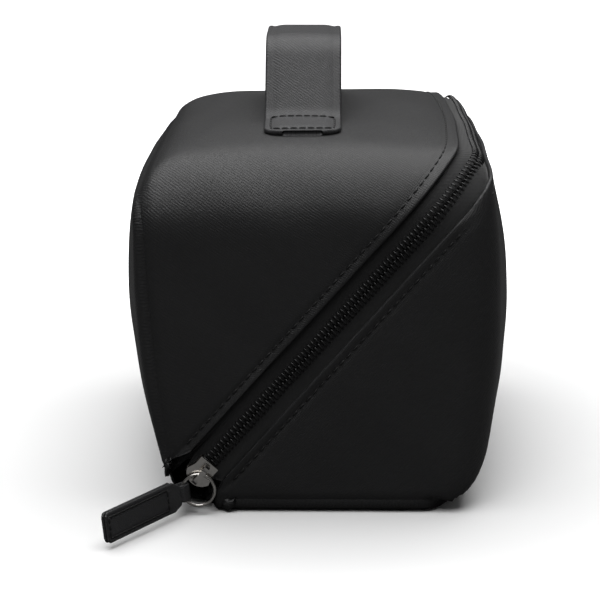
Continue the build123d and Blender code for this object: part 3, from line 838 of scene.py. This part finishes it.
def round_corners(points, cuts, count=9):
    """A line of straight runs whose corners are replaced by parabolas.

    cuts gives how far from each inner corner its parabola starts and ends.
    """
    points = np.asarray(points, dtype=float)
    path = [points[:1]]
    t = np.linspace(0.0, 1.0, count)[:, None]
    for k, cut in enumerate(cuts, start=1):
        before = points[k] + cut * unit(points[k - 1] - points[k])
        after = points[k] + cut * unit(points[k + 1] - points[k])
        path.append((1 - t) ** 2 * before + 2 * t * (1 - t) * points[k] + t * t * after)
    return np.concatenate(path + [points[-1:]])


def top_height(x, y):
    """Height of the top leather near points of the plan."""
    spot = np.stack(np.broadcast_arrays(x, y, RIDGE_MIDDLE - 3.0), axis=-1)
    return onto_case(spot, 0.0, rounds=16)[..., 2]


HANDLE_X, HANDLE_WIDTH = -6.0, 34.0
HANDLE_THICK, HANDLE_PUFF = 2.4, 0.45
HANDLE_INSET = 3.2
HANDLE_TAB_END, HANDLE_FOOT, HANDLE_CREST = 74.0, 48.0, 24.5
HANDLE_TOP = 194.6
HANDLE_END_R = 8.0
# Box of stitches on each tab: run from the tab's end, columns of the grid, and pitch
HANDLE_BOX, HANDLE_BOX_COLUMNS, HANDLE_STITCH = (4.0, 23.0), (2.0, 34.0), 3.4


def half_width_at(run, whole, radius, half):
    """Half width of a strap with rounded ends, at distances from its first end."""
    near = np.minimum(run, whole - run)
    inside = np.clip(radius - near, 0.0, radius)
    return half - radius + np.sqrt(np.maximum(radius**2 - inside**2, 0.0))


seat = float(top_height(HANDLE_X, -60.0))
corners = [
    (-HANDLE_TAB_END, seat),
    (-HANDLE_FOOT, seat),
    (-HANDLE_CREST, HANDLE_TOP),
    (HANDLE_CREST, HANDLE_TOP),
    (HANDLE_FOOT, seat),
    (HANDLE_TAB_END, seat),
]
side_path = round_corners(corners, (7.0, 9.0, 9.0, 7.0))
side_path = even(np.column_stack([np.zeros(len(side_path)), side_path]), 190)
run = run_of(side_path)
heading = tangents(side_path)
rise = np.stack([np.zeros(len(run)), -heading[:, 2], heading[:, 1]], axis=1)
half = half_width_at(run, run[-1], HANDLE_END_R, HANDLE_WIDTH / 2 - HANDLE_THICK / 2)
share = np.linspace(-1.0, 1.0, 37)
place_x = half[:, None] * share
from_edge = HANDLE_WIDTH / 2 - np.abs(place_x)
end_run = np.minimum(run, run[-1] - run)[:, None]
on_tab = 1.0 - step(end_run, 18.0, 30.0)
edge_gap = np.minimum(from_edge, end_run + 40.0 * (1 - on_tab))
groove = np.exp(-(((edge_gap - HANDLE_INSET) / 0.9) ** 2))
puff = HANDLE_PUFF * step(edge_gap, HANDLE_INSET, HANDLE_INSET + 5.0) - 0.3 * groove
lies = top_height(HANDLE_X + place_x, side_path[:, 1][:, None]) - seat
centre = side_path[:, None] + np.stack([HANDLE_X + place_x, 0 * place_x, lies * on_tab], axis=-1)
outer = centre + rise[:, None] * (HANDLE_THICK + puff)[..., None]
handle_thick = (HANDLE_THICK + puff + (1 - on_tab) * puff)[..., None]
flat = np.stack([place_x, np.broadcast_to(run[:, None], place_x.shape), 0 * place_x], axis=-1)
facing = np.broadcast_to(rise[:, None], outer.shape)
handle = shell(
    "handle_leather", outer, flat, handle_thick, "lid", strap_leather, rim=6, facing=facing
)
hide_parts("handle_strap", "handle_core")


def grid_at(grid, rows, cols):
    """Points of a grid at fractional rows and columns."""
    r0 = np.clip(np.floor(rows).astype(int), 0, grid.shape[0] - 2)
    c0 = np.clip(np.floor(cols).astype(int), 0, grid.shape[1] - 2)
    r, c = (rows - r0)[:, None], (cols - c0)[:, None]
    low = grid[r0, c0] * (1 - c) + grid[r0, c0 + 1] * c
    high = grid[r0 + 1, c0] * (1 - c) + grid[r0 + 1, c0 + 1] * c
    return low * (1 - r) + high * r


def box_stitches(name, grid, facing, rows, columns, pitch, body):
    """A stitched rectangle on a strap, between two rows and two columns of its grid."""
    first_row, last_row = rows
    first_col, last_col = columns
    corners = [(first_row, first_col), (last_row, first_col), (last_row, last_col)]
    corners += [(first_row, last_col), (first_row, first_col)]
    lines = []
    for start, end in zip(corners[:-1], corners[1:]):
        t = np.linspace(0.0, 1.0, 60)
        rows, cols = start[0] + (end[0] - start[0]) * t, start[1] + (end[1] - start[1]) * t
        line = grid_at(grid, rows, cols)
        look = grid_at(facing, rows, cols)
        length = run_of(line)[-1]
        at = (np.arange(int(length / pitch)) + 0.5) * length / int(length / pitch)
        gaps = run_of(line)
        spots = np.stack([np.interp(at, gaps, line[:, k]) for k in range(3)], axis=1)
        out = np.stack([np.interp(at, gaps, look[:, k]) for k in range(3)], axis=1)
        way = np.broadcast_to(unit(line[-1] - line[0]), spots.shape)
        lines.append((spots, way, out))
    spots, way, out = (np.concatenate(part) for part in zip(*lines))
    return stitches(name, spots, way, unit(out), body, thread)


row_at = np.interp(HANDLE_BOX, run, np.arange(len(run)))
for name, rows in (("near", row_at), ("far", len(run) - 1 - row_at)):
    columns = HANDLE_BOX_COLUMNS
    box_stitches(f"handle_stitches_{name}", outer, facing, rows, columns, HANDLE_STITCH, "lid")

# ---------------------------------------------------------------- slider, ring and puller


def on_end(turn):
    """Unit vector in the near end's plane, at degrees from +X towards +Z."""
    return np.array([math.cos(math.radians(turn)), 0.0, math.sin(math.radians(turn))])


def rounded_copy(node, name, body, width, material):
    """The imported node's shape as a new piece with narrow rounded edges."""
    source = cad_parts[node]
    piece = bpy.data.objects.new(name, source.data.copy())
    piece.matrix_world = source.matrix_world.copy()
    bpy.context.scene.collection.objects.link(piece)
    piece.data.materials.clear()
    piece.data.materials.append(material)
    piece.data.polygons.foreach_set("use_smooth", [True] * len(piece.data.polygons))
    bevel = piece.modifiers.new("rounded_edges", "BEVEL")
    bevel.width = width * MM
    bevel.segments = 2
    bevel.limit_method = "ANGLE"
    bevel.angle_limit = math.radians(35.0)
    bevel.harden_normals = True
    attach(piece, body)
    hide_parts(node)
    return piece


rounded_copy("slider_body", "slider_shell", "slider", 0.3, nickel)
rounded_copy("slider_bail", "slider_bridge", "slider", 0.3, nickel)
rounded_copy("slider_back_plate", "slider_back", "slider", 0.2, nickel)
rounded_copy("zip_end_stops", "end_stops", "base", 0.15, nickel)

RING_R, RING_WIRE = 7.0, 1.45
ring_pivot = np.array([-49.2, -115.63, 18.4])
ring_centre = ring_pivot + RING_R * on_end(262.0)
turn = np.linspace(0.0, 2 * math.pi, 64, endpoint=False)[:, None]
tube = np.linspace(0.0, 2 * math.pi, 16, endpoint=False)[None, :]
reach = RING_R + RING_WIRE / 2 * np.cos(tube)
points = np.stack(
    [reach * np.cos(turn), RING_WIRE / 2 * np.sin(tube) + 0 * turn, reach * np.sin(turn)], axis=-1
)
points = np.concatenate([points, points[:1]]) + ring_centre
faces = quads(65, 16, wrap=True) % (64 * 16)
ring = make_object("wire_ring", points[:-1].reshape(-1, 3), faces.tolist(), [nickel])
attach(ring, "ring")
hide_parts("pull_ring")

PULLER_TILT = math.radians(56.0)
PULLER_LENGTH, PULLER_HALF, PULLER_NECK = 52.0, 6.3, 3.5
PULLER_LEATHER, PULLER_LAYER = 1.25, 0.85
PULLER_CORNER = 1.6
PULLER_BOX, PULLER_BOX_COLUMNS, PULLER_STITCH = (1.5, 40.0), (3.2, 20.8), 2.7
puller_pivot = ring_centre + RING_R * on_end(188.5)
puller_across = on_end(98.5)
puller_along = math.cos(PULLER_TILT) * on_end(188.5) - math.sin(PULLER_TILT) * AXIS_Y
puller_along = unit(puller_along + 0.06 * AXIS_Z)
puller_up = unit(np.cross(puller_across, puller_along))
puller_across = np.cross(puller_along, puller_up)
fold = [(PULLER_LENGTH, PULLER_LAYER), (9.0, PULLER_LAYER), (3.0, 2.3), (-2.6, 2.5)]
fold += [(a, -b) for a, b in fold[::-1]]
fold = round_corners(fold, (3.0, 2.6, 2.2, 2.2, 2.6, 3.0))
fold = even(np.column_stack([fold, np.zeros(len(fold))]), 230)
run = run_of(fold)
heading = tangents(fold)
away = np.stack([-heading[:, 1], heading[:, 0]], axis=1)
away = away * np.sign((away * (fold[:, :2] - [20.0, 0.0])).sum(1))[:, None]
flat_part = fold[:, 0] > 4.0
away[flat_part, 0] = 0.0
away[flat_part, 1] = np.sign(fold[flat_part, 1])
widen = PULLER_NECK + (PULLER_HALF - PULLER_NECK) * np.clip((fold[:, 0] - 3.4) / 4.6, 0.0, 1.0)
inside = np.clip(fold[:, 0] - (PULLER_LENGTH - PULLER_CORNER), 0.0, PULLER_CORNER)
half = widen - PULLER_CORNER + np.sqrt(PULLER_CORNER**2 - inside**2) - 0.3
share = np.linspace(-1.0, 1.0, 25)
place = half[:, None] * share
edge_gap = np.minimum(half[:, None] - np.abs(place), PULLER_LENGTH - fold[:, 0][:, None])
on_strap = step(fold[:, 0], 8.0, 11.0)[:, None]
groove = np.exp(-(((edge_gap - 1.5) / 0.55) ** 2)) * on_strap
swell = 0.12 * step(edge_gap, 1.5, 3.5) * on_strap - 0.22 * groove
lift = PULLER_LEATHER / 2 + swell
spot = fold[:, None, :2] + away[:, None] * lift[..., None]
outer = (
    puller_pivot
    + spot[..., :1] * puller_along
    + spot[..., 1:] * puller_up
    + place[..., None] * puller_across
)
facing = away[:, None, :1] * puller_along + away[:, None, 1:] * puller_up
facing = np.broadcast_to(facing, outer.shape)
flat = np.stack([place, np.broadcast_to(run[:, None], place.shape), 0 * place], axis=-1)
thick = (PULLER_LEATHER + swell)[..., None]
puller = shell("puller_leather", outer, flat, thick, "puller", strap_leather, facing=facing)
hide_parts("puller_strap", "puller_core")
for name in ("top", "under"):
    first, last = np.interp(PULLER_BOX, run, np.arange(len(run)))
    if name == "under":
        first, last = len(run) - 1 - first, len(run) - 1 - last
    columns = PULLER_BOX_COLUMNS
    box_stitches(
        f"puller_stitches_{name}", outer, facing, (first, last), columns, PULLER_STITCH, "puller"
    )
rows = np.linspace(11.0, PULLER_LENGTH - 1.2, 40)[:, None, None]
cols = np.linspace(-5.2, 5.2, 9)[None, :, None]
sheet = puller_pivot + rows * puller_along + cols * puller_across + 0.25 * puller_up
flat = np.concatenate([cols + 0 * rows, rows + 0 * cols, 0 * rows * cols], axis=-1)
facing = np.broadcast_to(puller_up, sheet.shape)
filler = shell("puller_filling", sheet, flat, 0.5, "puller", board_stuff, rim=2, facing=facing)

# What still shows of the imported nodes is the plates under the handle's ends
for name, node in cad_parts.items():
    stuff = nickel if name.startswith("slider") or name == "pull_ring" else board_stuff
    for k in range(len(node.material_slots)):
        node.material_slots[k].material = stuff

# ---------------------------------------------------------------- stage, light, camera


def look_at_matrix(place, target):
    """A placement at a point that looks at another."""
    forward = (Vector(target) - Vector(place)).normalized()
    turn = forward.to_track_quat("-Z", "Y").to_matrix().to_4x4()
    return Matrix.Translation(place) @ turn


def area_light(name, place, target, size, power):
    """A soft rectangular light."""
    data = bpy.data.lights.new(name, "AREA")
    data.shape = "RECTANGLE"
    data.size, data.size_y = size
    data.energy = power
    lamp = bpy.data.objects.new(name, data)
    lamp.matrix_world = look_at_matrix(place, target)
    bpy.context.scene.collection.objects.link(lamp)
    return lamp


def floor_material():
    """Pale paper that glows white away from the case, for the camera alone.

    Other surfaces see a darker paper, so that it doesn't light the case.
    """
    r = Recipe("pale_floor")
    seen = r.add("ShaderNodeLightPath").outputs["Is Camera Ray"]
    tone = r.add("ShaderNodeMix", {"data_type": "RGBA"})
    r.feed(tone.inputs[0], seen)
    r.feed(tone.inputs[6], (0.12, 0.12, 0.12, 1.0))
    r.feed(tone.inputs[7], (0.95, 0.95, 0.95, 1.0))
    place = r.add("ShaderNodeTexCoord").outputs["Object"]
    away = r.add("ShaderNodeVectorMath", {"operation": "LENGTH"}, i0=place).outputs["Value"]
    fade = r.add("ShaderNodeMapRange", {"interpolation_type": "SMOOTHSTEP"}, Value=away)
    fade.inputs["From Min"].default_value = 0.16
    fade.inputs["From Max"].default_value = 0.42
    glow = math_node(r, "MULTIPLY", fade.outputs[0], seen)
    return r.finish(
        Base_Color=tone.outputs[2],
        Roughness=0.7,
        Emission_Color=(1.0, 1.0, 1.0, 1.0),
        Emission_Strength=glow,
    )


def make_stage():
    """A pale floor, and a world that is white to the camera and dim to the surfaces."""
    floor_size = 3000.0
    corners = [(-floor_size, -floor_size, 0), (floor_size, -floor_size, 0)]
    corners += [(floor_size, floor_size, 0), (-floor_size, floor_size, 0)]
    stuff = floor_material()
    floor = make_object("floor", np.array(corners, float), [[0, 1, 2, 3]], [stuff], smooth=False)
    world = bpy.data.worlds.new("studio")
    bpy.context.scene.world = world
    world.use_nodes = True
    tree = world.node_tree
    ground = tree.nodes["Background"]
    way = tree.nodes.new("ShaderNodeTexCoord")
    split = tree.nodes.new("ShaderNodeSeparateXYZ")
    tree.links.new(way.outputs["Generated"], split.inputs[0])
    rise = tree.nodes.new("ShaderNodeMapRange")
    rise.inputs["From Min"].default_value = 0.0
    rise.inputs["From Max"].default_value = 1.0
    rise.inputs["To Min"].default_value = 0.02
    rise.inputs["To Max"].default_value = 0.2
    tree.links.new(split.outputs["Z"], rise.inputs["Value"])
    seen = tree.nodes.new("ShaderNodeLightPath")
    choose = tree.nodes.new("ShaderNodeMix")
    choose.data_type = "FLOAT"
    tree.links.new(seen.outputs["Is Camera Ray"], choose.inputs[0])
    tree.links.new(rise.outputs[0], choose.inputs[2])
    choose.inputs[3].default_value = 1.0
    tree.links.new(choose.outputs[0], ground.inputs["Strength"])
    ground.inputs["Color"].default_value = (1, 1, 1, 1)
    return floor


CAM_ELEVATION = math.radians(13.5)
CAM_YAW = math.radians(-0.76)


def make_camera():
    """The camera of the photograph, with a 126 mm lens on a 36 mm wide frame."""
    data = bpy.data.cameras.new("camera")
    data.sensor_width = 36.0
    data.lens = 126.0
    data.clip_start, data.clip_end = 0.01, 50.0
    camera = bpy.data.objects.new("camera", data)
    forward = Vector(
        (
            math.sin(CAM_YAW) * math.cos(CAM_ELEVATION),
            math.cos(CAM_YAW) * math.cos(CAM_ELEVATION),
            -math.sin(CAM_ELEVATION),
        )
    )
    right = Vector((math.cos(CAM_YAW), -math.sin(CAM_YAW), 0.0))
    up = right.cross(forward)
    basis = Matrix((right, up, -forward)).transposed().to_4x4()
    place = Vector((4.95, -975.32, 302.19)) * MM
    camera.matrix_world = Matrix.Translation(place) @ basis
    bpy.context.scene.collection.objects.link(camera)
    bpy.context.scene.camera = camera
    return camera


make_stage()
make_camera()
area_light("top", (0.0, 0.15, 1.3), (0, 0.1, 0.0), (1.6, 1.6), 25.0)
area_light("front", (-0.3, -1.2, 1.5), (-0.02, -0.1, 0.12), (0.9, 0.6), 6.5)
scene = bpy.context.scene
scene.view_settings.view_transform = "Standard"
